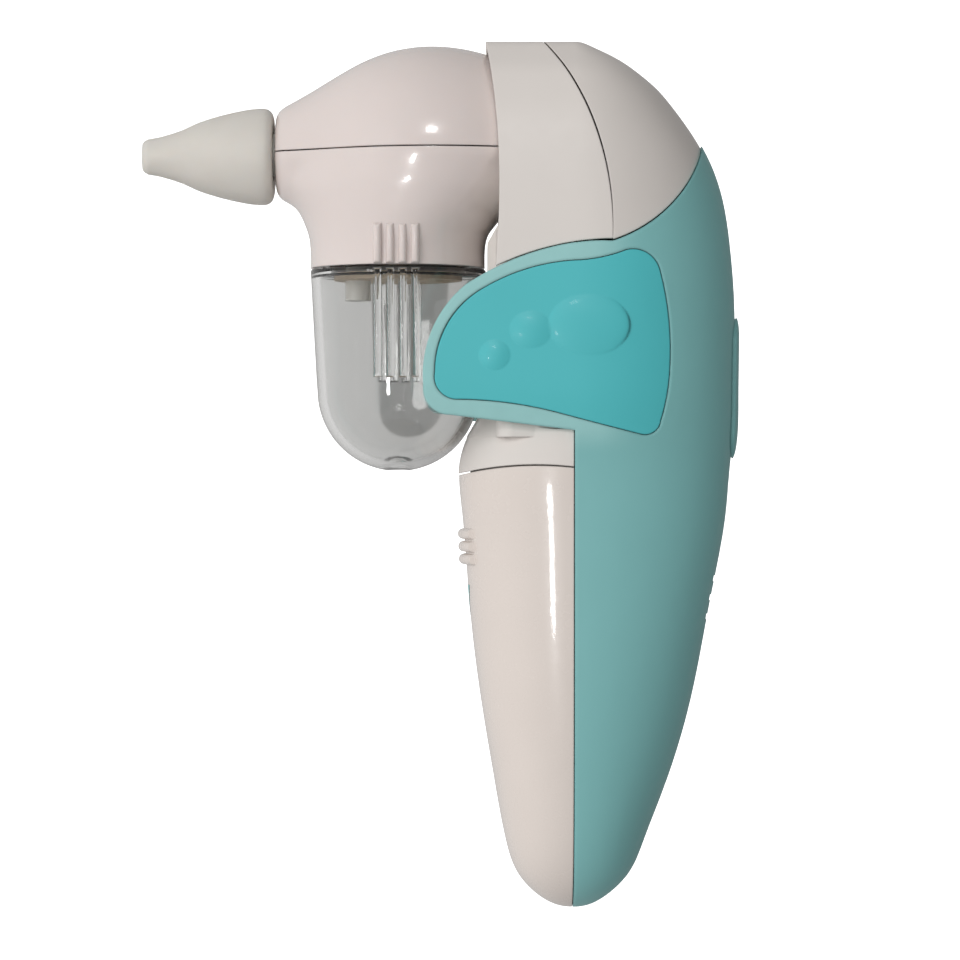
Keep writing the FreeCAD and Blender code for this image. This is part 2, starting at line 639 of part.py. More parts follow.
def make_board():
    keep_object(expression_box(
        "circuit_board_box", ("Sizes.board_x", "-Sizes.board_half", "Sizes.board_low"),
        ("Sizes.board_x + Sizes.board_thick", "Sizes.board_half", "Sizes.board_high")),
        "circuit_board")
    case = expression_box("switch_case", ("Sizes.board_x + Sizes.board_thick", "-3",
                                          "Sizes.switch_height - 3"),
                          ("Sizes.board_x + Sizes.board_thick + 2.4", "3",
                           "Sizes.switch_height + 3"))
    well = expression_rod("switch_well", "1.6", "5", ("Sizes.board_x + Sizes.board_thick + 0.4",
                                                      "0", "Sizes.switch_height"), "X")
    keep_object(joined("tact_switch", "cut", case, well), "tact_switch")
    keep_object(expression_rod("plunger_rod", "1.5", "2.2",
                               ("Sizes.board_x + 3.0", "0", "Sizes.switch_height"),
                               "X"), "switch_plunger")
    keep_object(expression_rod("capacitor_can", "2.5", "5.5",
                               ("Sizes.board_x - 5.5", "-5", "58"), "X"), "capacitor")
    keep_object(expression_box("driver_chip_box", ("Sizes.board_x - 1.3", "-2.5", "42"),
                               ("Sizes.board_x", "2.5", "46")), "driver_chip")


# ---------------------------------------------------------------- motor and pump

def make_motor():
    outline = [("Sizes.motor_front", "1.35"), ("Sizes.motor_front", "Sizes.motor_radius"),
               ("Sizes.motor_back", "Sizes.motor_radius"),
               ("Sizes.motor_back", "Sizes.motor_radius - 0.7"),
               ("Sizes.motor_front + 0.8", "Sizes.motor_radius - 0.7"),
               ("Sizes.motor_front + 0.8", "1.35")]
    turned_body("motor_can", outline, "Sizes.motor_height")
    cap = [("Sizes.motor_back + 0.02", "1.04"), ("Sizes.motor_back + 0.02", "6.4"),
           ("Sizes.motor_back + 1.5", "6.4"), ("Sizes.motor_back + 1.5", "1.04")]
    turned_body("motor_end_cap", cap, "Sizes.motor_height")
    magnets = [("Sizes.motor_front + 2", "6.1"), ("Sizes.motor_front + 2", "7.28"),
               ("Sizes.motor_back - 4", "7.28"), ("Sizes.motor_back - 4", "6.1")]
    turned_body("motor_magnet_ring", magnets, "Sizes.motor_height")
    bearing = [("Sizes.motor_front + 0.1", "1.04"), ("Sizes.motor_front + 0.1", "1.33"),
               ("Sizes.motor_front + 0.82", "1.33"), ("Sizes.motor_front + 0.82", "2.4"),
               ("Sizes.motor_front + 1.8", "2.4"), ("Sizes.motor_front + 1.8", "1.04")]
    turned_body("motor_bush", bearing, "Sizes.motor_height")
    armature = [("Sizes.motor_front + 2.5", "Sizes.shaft_radius"),
                ("Sizes.motor_front + 2.5", "5.6"), ("Sizes.motor_back - 4.5", "5.6"),
                ("Sizes.motor_back - 4.5", "2.2"), ("Sizes.motor_back - 0.8", "2.2"),
                ("Sizes.motor_back - 0.8", "Sizes.shaft_radius")]
    turned_body("motor_armature", armature, "Sizes.motor_height")
    keep_object(expression_rod("motor_shaft_rod", "Sizes.shaft_radius",
                               "Sizes.motor_back + 4.2", ("-3", "0", "Sizes.motor_height"),
                               "X"), "motor_shaft")
    disc = expression_rod("crank_disc", "Sizes.crank_radius", "3.4",
                          ("-1.7", "0", "Sizes.motor_height + Sizes.crank_throw"), "X")
    hole = expression_rod("crank_bore", "Sizes.shaft_radius", "6",
                          ("-3", "0", "Sizes.motor_height"), "X")
    keep_object(joined("crank_eccentric", "cut", disc, hole), "crank_eccentric")
    saddle = expression_box("saddle_block", ("9", "-9", "Sizes.motor_height - 12"),
                            ("19", "9", "Sizes.motor_height - 4"))
    seat = expression_rod("saddle_seat", "Sizes.motor_radius", "20",
                          ("4", "0", "Sizes.motor_height"), "X")
    keep_object(joined("motor_saddle", "cut", saddle, seat), "motor_saddle")


def make_pump():
    height, deck = size("motor_height"), size("pump_deck")
    thick = size("rod_thick")
    ring = rod(size("rod_outer"), (-thick / 2, 0, height), (thick / 2, 0, height))
    stem = block((-thick / 2, -1.6, height + 5.0), (thick / 2, 1.6, deck - 1.0))
    eye = rod(size("rod_hole"), (-5, 0, height), (5, 0, height))
    keep("pump_rod", ring.fuse(stem).removeSplitter().cut(eye))
    case = block((-4.8, -8.8, height - 8.6), (4.8, 8.8, deck - 0.02))
    case = case.cut(block((-3.4, -7.4, height - 7.2), (3.4, 7.4, deck + 1)))
    case = case.cut(rod(1.5, (0, 0, height), (10, 0, height)))
    keep("pump_crankcase", case)
    disc = expression_rod("diaphragm_disc", "Sizes.pump_radius", "1.0",
                          ("0", "0", "Sizes.pump_deck"), "Z")
    boss = expression_rod("diaphragm_boss", "2.2", "1.5",
                          ("0", "0", "Sizes.pump_deck - 1"), "Z")
    keep_object(joined("pump_diaphragm", "fuse", disc, boss), "pump_diaphragm")
    plate = rod(size("pump_radius"), (0, 0, deck + 1.0), (0, 0, deck + 2.6))
    for side in (-1, 1):
        plate = plate.cut(rod(1.1, (0, 3.6 * side, deck), (0, 3.6 * side, deck + 4)))
    keep("valve_plate", plate)
    port = size("port_height")
    cover = rod(size("pump_radius"), (0, 0, deck + 2.6), (0, 0, port + 3.0))
    cover = cover.fuse(rod(2.0, (-10.6, 0, port), (0, 0, port)))
    cover = cover.cut(rod(size("pump_radius") - 2.4, (0, 0, deck + 2), (0, 0, port + 1.6)))
    keep("pump_cover", cover.cut(rod(1.2, (-12, 0, port), (0, 0, port))))
    screws = [screw((6.2 * x, 6.2 * y, port + 3.0), (0, 0, -1), 2.0, 0.6)
              for x in (-0.7, 0.7) for y in (-0.7, 0.7)]
    lifted = [item.translated(Vector(0, 0, 0.66)) for item in screws]
    cover_part = SUBPARTS[-1]
    shape = cover_part.Shape
    for item in lifted:
        shape = shape.cut(item)
    cover_part.Shape = shape
    keep("pump_screws", Part.makeCompound(lifted))


def make_port():
    height, radius = size("port_height"), size("port_radius")
    back, thick = size("bulkhead_x"), size("bulkhead_thick")
    socket = rod(radius + 1.4, (back - 0.2, 0, height), (back + thick + 0.2, 0, height))
    keep("vacuum_port_grommet", socket.cut(rod(radius, (-20, 0, height), (0, 0, height))))
    hose = rod(3.1, (-10.8, 0, height), (-8.3, 0, height))
    keep("suction_hose", hose.cut(rod(2.0, (-20, 0, height), (0, 0, height))))


# ---------------------------------------------------------------- power

def make_cells():
    for name, side in SIDES:
        direction = "up" if side > 0 else "down"
        base = "Sizes.cell_low" if direction == "up" else "Sizes.cell_low + Sizes.nub_length"
        nub = "Sizes.cell_low + Sizes.cell_length - Sizes.nub_length - 0.05" \
            if direction == "up" else "Sizes.cell_low"
        can = expression_rod(f"cell_can_{name}", "Sizes.cell_radius",
                             "Sizes.cell_length - Sizes.nub_length",
                             ("Sizes.cell_x", f"{side} * Sizes.cell_side", base), "Z")
        tip = expression_rod(f"cell_nub_{name}", "Sizes.nub_radius",
                             "Sizes.nub_length + 0.05",
                             ("Sizes.cell_x", f"{side} * Sizes.cell_side", nub), "Z")
        keep_object(joined(f"battery_{name}", "fuse", can, tip), f"battery_{name}")


def make_tray():
    low, top = size("cell_low"), size("cell_low") + size("cell_length")
    inner = rear_form(wall + 0.25).fuse(front_form(2.4, 41.5))
    trough = block((0.3, -15.2, low - 3.0), (8.0, 15.2, top + 3.0))
    for side in (-1, 1):
        cell = (size("cell_x"), side * size("cell_side"))
        trough = trough.cut(rod(size("cell_radius") + 0.15, (*cell, low - 1.6),
                                (*cell, top + 1.9)))
    ends = block((-8.5, -14.8, low - 3.0), (0.3, 14.8, low - 1.8)).fuse(
        block((-8.5, -14.8, top + 1.9), (0.3, 14.8, top + 3.0)))
    tray = trough.fuse(ends).common(inner).removeSplitter()
    keep("battery_tray", tray)
    bridge = block((-5.5, -11.0, low - 1.8), (0.2, 11.0, low - 1.4))
    for side in (-1, 1):
        leaf = block((-4.5, side * size("cell_side") - 2, low - 1.4),
                     (-0.8, side * size("cell_side") + 2, low))
        hollow = block((-3.9, side * size("cell_side") - 3, low - 1.4),
                       (-1.4, side * size("cell_side") + 3, low - 0.4))
        bridge = bridge.fuse(leaf.cut(hollow))
    keep("battery_bridge_contact", bridge.removeSplitter())
    for name, side in SIDES:
        y = side * size("cell_side")
        plate = block((-5.5, y - 3.5, top + 1.5), (0.2, y + 3.5, top + 1.9))
        leaf = block((-4.5, y - 2, top), (-0.8, y + 2, top + 1.5))
        leaf = leaf.cut(block((-3.9, y - 3, top + 0.4), (-1.4, y + 3, top + 1.5)))
        keep(f"battery_contact_{name}", plate.fuse(leaf).removeSplitter())


def make_leads():
    radius = size("lead_radius")
    board = size("board_x") + size("board_thick") / 2
    high, low = size("board_high"), size("board_low")
    top = size("cell_low") + size("cell_length") + 3.0
    end = size("motor_back") + 2.1
    for name, side in SIDES:
        motor = [(board, 4 * side, high + 0.02), (board, 4 * side, high + 4),
                 (end, 4 * side, high + 8), (end, 4 * side, size("motor_height") - 1)]
        keep(f"motor_lead_{name}", lead(motor, radius))
        supply = [(3.0, 9 * side, top + 0.02), (3.0, 9 * side, top + 4),
                  (12.0, 8 * side, top + 5.2), (board, 7 * side, low - 4.5),
                  (board, 7 * side, low - 0.02)]
        keep(f"battery_lead_{name}", lead(supply, radius))


def make_screws():
    height, radius = size("screw_height"), size("screw_radius")
    seat = 11.2
    keep("case_screw", screw((seat + 1.1 * radius, 0, height), (-1, 0, 0), 4.5, radius))


make_crown_cover()
make_front_housing()
make_rear_shell()
make_inlays()
make_battery_door()
make_bulkhead()
make_snout_shells()
make_airway()
make_snout_fittings()
make_nose_tip()
make_cup()
make_button()
make_board()
make_motor()
make_pump()
make_port()
make_cells()
make_tray()
make_leads()
make_screws()
doc.recompute()

for item in doc.Objects:
    if "Invalid" in item.State or "Error" in item.State:
        raise RuntimeError(f"{item.Name} did not compute: {item.State}")

os.makedirs("parts", exist_ok=True)
for item in SUBPARTS:
    shape = item.Shape
    if shape.isNull() or not shape.isValid() or not shape.Solids:
        raise RuntimeError(f"{item.Label} has no valid solid")
    box = shape.BoundBox
    print(f"{item.Label:24s} solids {len(shape.Solids)}  volume {shape.Volume:9.1f}  "
          f"x {box.XMin:6.1f} {box.XMax:6.1f}  y {box.YMin:6.1f} {box.YMax:6.1f}  "
          f"z {box.ZMin:6.1f} {box.ZMax:6.1f}")
    shape.exportStep(f"parts/{item.Label}.step")
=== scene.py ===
import json
import math

import bmesh
import bpy
from mathutils import Matrix, Vector


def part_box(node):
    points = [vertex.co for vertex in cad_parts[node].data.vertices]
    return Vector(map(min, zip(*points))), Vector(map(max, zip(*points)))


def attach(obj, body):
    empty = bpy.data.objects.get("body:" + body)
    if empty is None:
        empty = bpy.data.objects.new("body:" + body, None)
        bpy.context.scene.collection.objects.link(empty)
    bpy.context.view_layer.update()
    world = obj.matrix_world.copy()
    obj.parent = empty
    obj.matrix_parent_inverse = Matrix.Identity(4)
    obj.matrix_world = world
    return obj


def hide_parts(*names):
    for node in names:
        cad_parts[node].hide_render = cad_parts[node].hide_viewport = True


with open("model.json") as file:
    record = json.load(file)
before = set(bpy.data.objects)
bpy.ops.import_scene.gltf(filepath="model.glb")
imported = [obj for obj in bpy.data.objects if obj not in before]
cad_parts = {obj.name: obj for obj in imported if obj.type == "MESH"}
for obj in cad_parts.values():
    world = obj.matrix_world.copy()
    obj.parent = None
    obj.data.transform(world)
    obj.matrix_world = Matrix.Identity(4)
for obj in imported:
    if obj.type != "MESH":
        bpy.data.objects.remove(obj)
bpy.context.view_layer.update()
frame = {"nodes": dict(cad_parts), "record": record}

bl_info = {
    "name": "Nasal aspirator looks",
    "version": (1, 0, 0),
    "blender": (4, 5, 0),
    "location": "View3D > Sidebar > Aspirator",
    "description": "Builds the visible pieces and finishes of a battery nasal aspirator",
    "category": "Object",
}

MM = 0.001
NOZZLE_Z = sum(corner.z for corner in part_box("nose_tip")) / 2
CUP_X = sum(corner.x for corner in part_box("collection_cup")) / 2
TIP_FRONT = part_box("nose_tip")[0].x
TIP_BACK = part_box("nose_tip")[1].x
CUP_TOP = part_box("collection_cup")[1].z
SNOUT_FRONT, SNOUT_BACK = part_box("snout_upper_shell")[0].x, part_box("snout_upper_shell")[1].x
CUP_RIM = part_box("snout_lower_shell")[0].z
UP, ALONG = Vector((0, 0, 1)), Vector((1, 0, 0))


def hue(red, green, blue):
    """Display colour, 0 to 255 a channel, as the linear colour a shader takes."""
    def channel(value):
        share = value / 255
        return share / 12.92 if share <= 0.04045 else ((share + 0.055) / 1.055) ** 2.4
    return channel(red), channel(green), channel(blue)


class AspiratorSizes(bpy.types.PropertyGroup):
    """Sizes of the visible pieces."""

    def length(name, description, default):
        return bpy.props.FloatProperty(name=name, description=description, default=default,
                                       unit="LENGTH", subtype="DISTANCE", precision=5)

    tip_mouth: length("Tip mouth", "Outer radius of the soft tip at its mouth", 2.95 * MM)
    tip_collar: length("Tip collar", "Largest radius of the soft tip", 9.2 * MM)
    tip_bore: length("Tip bore", "Radius of the soft tip's bore", 1.6 * MM)
    shell_wall: length("Shell wall", "Wall of the snout's shells", 1.8 * MM)
    cup_wall: length("Cup wall", "Wall of the clear cup", 1.6 * MM)
    rib_width: length("Rib width", "Width of a grip rib", 1.55 * MM)
    rib_height: length("Rib height", "How far the grip ribs stand out", 0.75 * MM)
    rib_pitch: length("Rib pitch", "Distance from one grip rib to the next", 2.35 * MM)
    edge_round: length("Edge rounding", "Rounding of the moulded edges", 0.45 * MM)
    relief: length("Relief height", "How far the bubble motif stands out", 0.45 * MM)


class AspiratorColours(bpy.types.PropertyGroup):
    """Colours of the finishes."""

    def colour(name, description, default):
        return bpy.props.FloatVectorProperty(name=name, description=description, size=3,
                                             subtype="COLOR", min=0, max=1, default=default)

    snout: colour("Snout", "Gloss shells of the snout", hue(222, 211, 207))
    collar: colour("Collar", "Collar and shoulder", hue(222, 216, 211))
    crown: colour("Crown", "Crown cover", hue(214, 208, 203))
    door: colour("Door", "Battery door", hue(222, 212, 205))
    teal: colour("Teal", "Soft-touch rear shell", hue(127, 187, 187))
    # Painted light: a paler teal that stands in for the sheen and the lit side of the forward
    # flaps.
    painted_lit_flap: colour("Flap", "Soft-touch side flaps", hue(152, 203, 202))
    inlay: colour("Inlay", "Ear inlays", hue(78, 190, 196))
    silicone: colour("Silicone", "Soft tip", hue(240, 236, 229))


# ---------------------------------------------------------------- finishes

def fresh_material(name):
    material = bpy.data.materials.new(name)
    material.use_nodes = True
    nodes, links = material.node_tree.nodes, material.node_tree.links
    nodes.clear()
    output = nodes.new("ShaderNodeOutputMaterial")
    shader = nodes.new("ShaderNodeBsdfPrincipled")
    links.new(shader.outputs["BSDF"], output.inputs["Surface"])
    return material, nodes, links, shader


def noise(nodes, links, scale, detail=2.0):
    """A noise pattern on the object's own coordinates; scale is in cycles per metre."""
    place = nodes.new("ShaderNodeTexCoord")
    pattern = nodes.new("ShaderNodeTexNoise")
    pattern.inputs["Scale"].default_value = scale
    pattern.inputs["Detail"].default_value = detail
    links.new(place.outputs["Object"], pattern.inputs["Vector"])
    return pattern


def spread(nodes, links, source, low, high):
    """Turns a pattern's 0.3 to 0.7 into low to high."""
    ranged = nodes.new("ShaderNodeMapRange")
    ranged.inputs["From Min"].default_value = 0.3
    ranged.inputs["From Max"].default_value = 0.7
    ranged.inputs["To Min"].default_value = low
    ranged.inputs["To Max"].default_value = high
    links.new(source, ranged.inputs["Value"])
    return ranged.outputs["Result"]


def tint(nodes, links, source, colour, shift):
    """The colour, a little lighter or darker along a pattern."""
    ramp = nodes.new("ShaderNodeValToRGB")
    ramp.color_ramp.elements[0].position = 0.3
    ramp.color_ramp.elements[1].position = 0.7
    ramp.color_ramp.elements[0].color = (*[c * (1 - shift) for c in colour], 1)
    ramp.color_ramp.elements[1].color = (*[min(1, c * (1 + shift)) for c in colour], 1)
    links.new(source, ramp.inputs["Fac"])
    return ramp.outputs["Color"]


def moulded(name, colour, roughness, coat=0.0, grain=0.02, grain_scale=9000, edge=0.0,
            cloudy=0.0, metallic=0.0):
    """Moulded plastic: slow colour drift, uneven gloss, fine grain and softened edges."""
    material, nodes, links, shader = fresh_material(name)
    drift = noise(nodes, links, 45, 3)
    links.new(tint(nodes, links, drift.outputs["Fac"], colour, 0.018),
              shader.inputs["Base Color"])
    gloss = noise(nodes, links, 380, 4)
    links.new(spread(nodes, links, gloss.outputs["Fac"], roughness * 0.88, roughness * 1.14),
              shader.inputs["Roughness"])
    bump = nodes.new("ShaderNodeBump")
    bump.inputs["Strength"].default_value = grain
    bump.inputs["Distance"].default_value = 0.05 * MM
    fine = noise(nodes, links, grain_scale, 2)
    links.new(fine.outputs["Fac"], bump.inputs["Height"])
    if edge:
        bevel = nodes.new("ShaderNodeBevel")
        bevel.samples = 6
        bevel.inputs["Radius"].default_value = edge
        links.new(bevel.outputs["Normal"], bump.inputs["Normal"])
    links.new(bump.outputs["Normal"], shader.inputs["Normal"])
    shader.inputs["Metallic"].default_value = metallic
    shader.inputs["Coat Weight"].default_value = coat
    shader.inputs["Coat Roughness"].default_value = 0.06
    if cloudy:
        shader.inputs["Subsurface Weight"].default_value = cloudy
        shader.inputs["Subsurface Radius"].default_value = (1.2 * MM, 0.9 * MM, 0.7 * MM)
        shader.inputs["Subsurface Scale"].default_value = 1.0
    return material


def soft_touch(name, colour, painted_lit_flap_colour, edge):
    """Soft-touch paint with painted light: the flaps that reach forward get a paler colour, a
    painted sheen and lit side.
    """
    material = moulded(name, colour, 0.46, 0.0, 0.1, 7000, edge=edge)
    nodes, links = material.node_tree.nodes, material.node_tree.links
    shader = nodes["Principled BSDF"]
    painted = shader.inputs["Base Color"].links[0].from_socket
    place, split = nodes.new("ShaderNodeTexCoord"), nodes.new("ShaderNodeSeparateXYZ")
    links.new(place.outputs["Object"], split.inputs["Vector"])
    shares = []
    # Mask of the forward flaps (low X, high Z), where the paler painted-light colour goes.
    for axis, low, high in (("X", 13 * MM, 3 * MM), ("Z", 35 * MM, 41 * MM)):
        ranged = nodes.new("ShaderNodeMapRange")
        ranged.interpolation_type = "SMOOTHSTEP"
        ranged.inputs["From Min"].default_value = low
        ranged.inputs["From Max"].default_value = high
        links.new(split.outputs[axis], ranged.inputs["Value"])
        shares.append(ranged.outputs["Result"])
    both = nodes.new("ShaderNodeMath")
    both.operation = "MULTIPLY"
    links.new(shares[0], both.inputs[0])
    links.new(shares[1], both.inputs[1])
    mix = nodes.new("ShaderNodeMix")
    mix.data_type = "RGBA"
    links.new(both.outputs["Value"], mix.inputs["Factor"])
    links.new(painted, mix.inputs["A"])
    drift = noise(nodes, links, 300, 2)
    # The painted sheen and lit-side colour, mixed in over the flaps.
    links.new(tint(nodes, links, drift.outputs["Fac"], painted_lit_flap_colour, 0.02), mix.inputs["B"])
    links.new(mix.outputs["Result"], shader.inputs["Base Color"])
    return material


def clear_plastic(name):
    """Clear moulded plastic, a little grey, with faint flow marks."""
    material, nodes, links, shader = fresh_material(name)
    flow = noise(nodes, links, 120, 2)
    links.new(spread(nodes, links, flow.outputs["Fac"], 0.03, 0.07),
              shader.inputs["Roughness"])
    drift = noise(nodes, links, 60, 2)
    links.new(tint(nodes, links, drift.outputs["Fac"], (0.93, 0.935, 0.93), 0.006),
              shader.inputs["Base Color"])
    shader.inputs["Transmission Weight"].default_value = 1.0
    shader.inputs["IOR"].default_value = 1.49
    return material


def silicone(name, colour):
    """Milky silicone: light passes and scatters, with a satin skin."""
    material, nodes, links, shader = fresh_material(name)
    drift = noise(nodes, links, 140, 3)
    links.new(tint(nodes, links, drift.outputs["Fac"], colour, 0.02),
              shader.inputs["Base Color"])
    skin = noise(nodes, links, 900, 3)
    links.new(spread(nodes, links, skin.outputs["Fac"], 0.34, 0.46),
              shader.inputs["Roughness"])
    bump = nodes.new("ShaderNodeBump")
    bump.inputs["Strength"].default_value = 0.05
    bump.inputs["Distance"].default_value = 0.05 * MM
    links.new(skin.outputs["Fac"], bump.inputs["Height"])
    links.new(bump.outputs["Normal"], shader.inputs["Normal"])
    shader.inputs["Transmission Weight"].default_value = 0.3
    shader.inputs["IOR"].default_value = 1.41
    shader.inputs["Subsurface Weight"].default_value = 0.4
    shader.inputs["Subsurface Radius"].default_value = (2.5 * MM, 2.2 * MM, 1.9 * MM)
    shader.inputs["Subsurface Scale"].default_value = 1.0
    return material


FINISHES = {}


def finish(slot):
    """The finish of a record slot, made once."""
    if slot in FINISHES:
        return FINISHES[slot]
    colours = bpy.context.scene.aspirator_colours
    edge = bpy.context.scene.aspirator_sizes.edge_round
    made = {
        "warm_white_gloss": lambda: moulded("gloss_snout_plastic", colours.snout, 0.2, 0.6,
                                            0.015, edge=edge, cloudy=0.12),
        "collar_white": lambda: moulded("satin_collar_plastic", colours.collar, 0.42, 0.0,
                                        0.02, edge=edge),
        "crown_white": lambda: moulded("satin_crown_plastic", colours.crown, 0.36, 0.08,
                                       0.02, edge=edge),
        "door_white": lambda: moulded("gloss_door_plastic", colours.door, 0.26, 0.45,
                                      0.015, edge=edge),
        "teal_soft_touch": lambda: soft_touch("soft_touch_teal", colours.teal, colours.painted_lit_flap,
                                              2 * edge),
        "turquoise_inlay": lambda: moulded("satin_turquoise", colours.inlay, 0.4, 0.1, 0.08,
                                           6000, edge=edge),
        "soft_silicone": lambda: silicone("milky_silicone", colours.silicone),
        "clear_plastic": lambda: clear_plastic("clear_cup_plastic"),
        "natural_white": lambda: moulded("natural_white_plastic", hue(226, 224, 218), 0.42,
                                         edge=edge / 2),
        "seal_rubber": lambda: moulded("tan_seal_rubber", hue(196, 176, 150), 0.6, grain=0.2),
        "dark_rubber": lambda: moulded("dark_rubber", hue(44, 44, 46), 0.62, grain=0.2),
        "board_green": lambda: moulded("board_lacquer", hue(24, 88, 52), 0.3, coat=0.3,
                                       grain=0.3, grain_scale=1500),
        "black_plastic": lambda: moulded("black_part_plastic", hue(34, 34, 36), 0.4),
        "motor_steel": lambda: moulded("plated_steel", hue(190, 190, 188), 0.3, metallic=1),
        "bronze": lambda: moulded("bronze", hue(176, 122, 70), 0.34, metallic=1),
        "magnet_dark": lambda: moulded("ferrite", hue(52, 50, 50), 0.6, grain=0.4,
                                       grain_scale=3000),
        "nickel_spring": lambda: moulded("nickel_strip", hue(204, 200, 190), 0.26, metallic=1),
        "cell_jacket": lambda: moulded("cell_jacket", hue(52, 58, 66), 0.28, coat=0.4),
        "lead_red": lambda: moulded("red_lead", hue(178, 30, 28), 0.44),
        "lead_black": lambda: moulded("black_lead", hue(30, 30, 30), 0.44),
        "screw_steel": lambda: moulded("screw_steel", hue(168, 168, 166), 0.32, metallic=1),
    }
    FINISHES[slot] = made[slot]()
    return FINISHES[slot]


# ---------------------------------------------------------------- mesh helpers

def add_piece(name, shape, body, slot, *nodes, crease=math.radians(38)):
    """Turns a bmesh into a shown piece that rides on a body and stands for its CAD nodes."""
    bmesh.ops.remove_doubles(shape, verts=shape.verts, dist=0.002 * MM)
    bmesh.ops.recalc_face_normals(shape, faces=shape.faces)
    for face in shape.faces:
        face.smooth = True
    for edge in shape.edges:
        if edge.is_manifold and edge.calc_face_angle(0) > crease:
            edge.smooth = False
    mesh = bpy.data.meshes.new(name)
    shape.to_mesh(mesh)
    shape.free()
    piece = bpy.data.objects.new(name, mesh)
    bpy.context.scene.collection.objects.link(piece)
    mesh.materials.append(finish(slot))
    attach(piece, body)
    if nodes:
        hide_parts(*nodes)
    return piece


def chain(shape, points):
    """Vertices joined one after another by edges."""
    verts = [shape.verts.new(point) for point in points]
    edges = [shape.edges.new(pair) for pair in zip(verts, verts[1:])]
    return verts, edges


def spun(points, centre, axis, steps=96, closed=True):
    """A profile turned once about an axis into a bmesh."""
    shape = bmesh.new()
    verts, edges = chain(shape, points)
    if closed:
        edges.append(shape.edges.new((verts[-1], verts[0])))
    bmesh.ops.spin(shape, geom=verts + edges, cent=centre, axis=axis, angle=math.tau,
                   steps=steps, use_merge=True)
    bmesh.ops.remove_doubles(shape, verts=shape.verts, dist=0.002 * MM)
    return shape


def curve_through(points, pieces=6):
    """Smooth line through plane points: a Catmull-Rom spline with end tangents kept."""
    points = [Vector(point) for point in points]
    padded = [2 * points[0] - points[1]] + points + [2 * points[-1] - points[-2]]
    line = []
    for before, start, end, after in zip(padded, padded[1:], padded[2:], padded[3:]):
        for step in range(pieces):
            t = step / pieces
            line.append(0.5 * (2 * start + (end - before) * t
                               + (2 * before - 5 * start + 4 * end - after) * t * t
                               + (3 * start - before - 3 * end + after) * t ** 3))
    return line + [points[-1]]


def arc(centre, radius, first, last, pieces=8):
    """Plane points on an arc, angles in degrees."""
    return [Vector((centre[0] + radius * math.cos(math.radians(a)),
                    centre[1] + radius * math.sin(math.radians(a))))
            for a in (first + (last - first) * step / pieces for step in range(pieces + 1))]


def about_nozzle(profile):
    """(x, radius) pairs in millimetres as points in the plane above the nozzle axis."""
    return [Vector((x * MM, 0, NOZZLE_Z + radius * MM)) for x, radius in profile]


def about_cup(profile):
    """(radius, height) pairs in millimetres as points beside the cup's axis."""
    return [Vector((CUP_X + radius * MM, 0, height * MM)) for radius, height in profile]


def mesh_bmesh(obj):
    """The evaluated mesh of an object as a new bmesh; the object is removed."""
    depsgraph = bpy.context.evaluated_depsgraph_get()
    shape = bmesh.new()
    shape.from_object(obj, depsgraph)
    mesh = obj.data
    bpy.data.objects.remove(obj)
    bpy.data.meshes.remove(mesh)
    return shape


def joined_into(shape, other):
    """Adds a bmesh's faces to another; the added one is freed."""
    mesh = bpy.data.meshes.new("scratch")
    other.to_mesh(mesh)
    other.free()
    shape.from_mesh(mesh)
    bpy.data.meshes.remove(mesh)


def scratch_object(shape):
    """An object made of a bmesh, which is freed."""
    mesh = bpy.data.meshes.new("scratch")
    shape.to_mesh(mesh)
    shape.free()
    obj = bpy.data.objects.new("scratch", mesh)
    bpy.context.scene.collection.objects.link(obj)
    return obj


def combined(shape, other, operation):
    """Boolean of two closed bmeshes."""
    base, tool = scratch_object(shape), scratch_object(other)
    step = base.modifiers.new("combine", "BOOLEAN")
    step.operation, step.solver, step.object = operation, "EXACT", tool
    bpy.context.view_layer.update()
    result = mesh_bmesh(base)
    mesh = tool.data
    bpy.data.objects.remove(tool)
    bpy.data.meshes.remove(mesh)
    return result


def remeshed(shape, voxel, smooth_steps):
    """Voxel remesh of a closed bmesh, then relaxed."""
    base = scratch_object(shape)
    step = base.modifiers.new("remesh", "REMESH")
    step.mode, step.voxel_size = "VOXEL", voxel
    bpy.context.view_layer.update()
    result = mesh_bmesh(base)
    for _ in range(smooth_steps):
        bmesh.ops.smooth_vert(result, verts=result.verts, factor=0.5, use_axis_x=True,
                              use_axis_y=True, use_axis_z=True)
    return result


def halved(shape, point, normal, fill=False):
    """Keeps what lies behind a plane, as seen along its normal."""
    cut = bmesh.ops.bisect_plane(shape, geom=shape.verts[:] + shape.edges[:] + shape.faces[:],
                                 plane_co=point, plane_no=normal, clear_outer=True,
                                 dist=0.001 * MM)
    if fill:
        edges = [item for item in cut["geom_cut"] if isinstance(item, bmesh.types.BMEdge)]
        bmesh.ops.holes_fill(shape, edges=edges)
    return shape


def edge_softened(piece, width):
    """Live bevel on the sharp edges."""
    step = piece.modifiers.new("edge_rounding", "BEVEL")
    step.width, step.segments, step.limit_method = width, 2, "ANGLE"
    step.angle_limit = math.radians(50)
    step.harden_normals = False


def walled(piece, thickness):
    """Live wall thickness, inward."""
    step = piece.modifiers.new("wall", "SOLIDIFY")
    step.thickness, step.offset = thickness, -1
    step.use_even_offset = True


def rounded_bar(length, width, height):
    """A bar along Z with a half-round outer side towards +Y, its back on y = 0."""
    shape = bmesh.new()
    bmesh.ops.create_cube(shape, size=1.0)
    bmesh.ops.scale(shape, vec=(width, 2 * height, length), verts=shape.verts)
    edges = [edge for edge in shape.edges
             if all(vert.co.y > 0 for vert in edge.verts)]
    bmesh.ops.bevel(shape, geom=edges, offset=0.44 * width, offset_type="OFFSET",
                    segments=4, profile=0.5, affect="EDGES", clamp_overlap=True, material=-1)
    return shape


def sized():
    return bpy.context.scene.aspirator_sizes


# ---------------------------------------------------------------- pieces

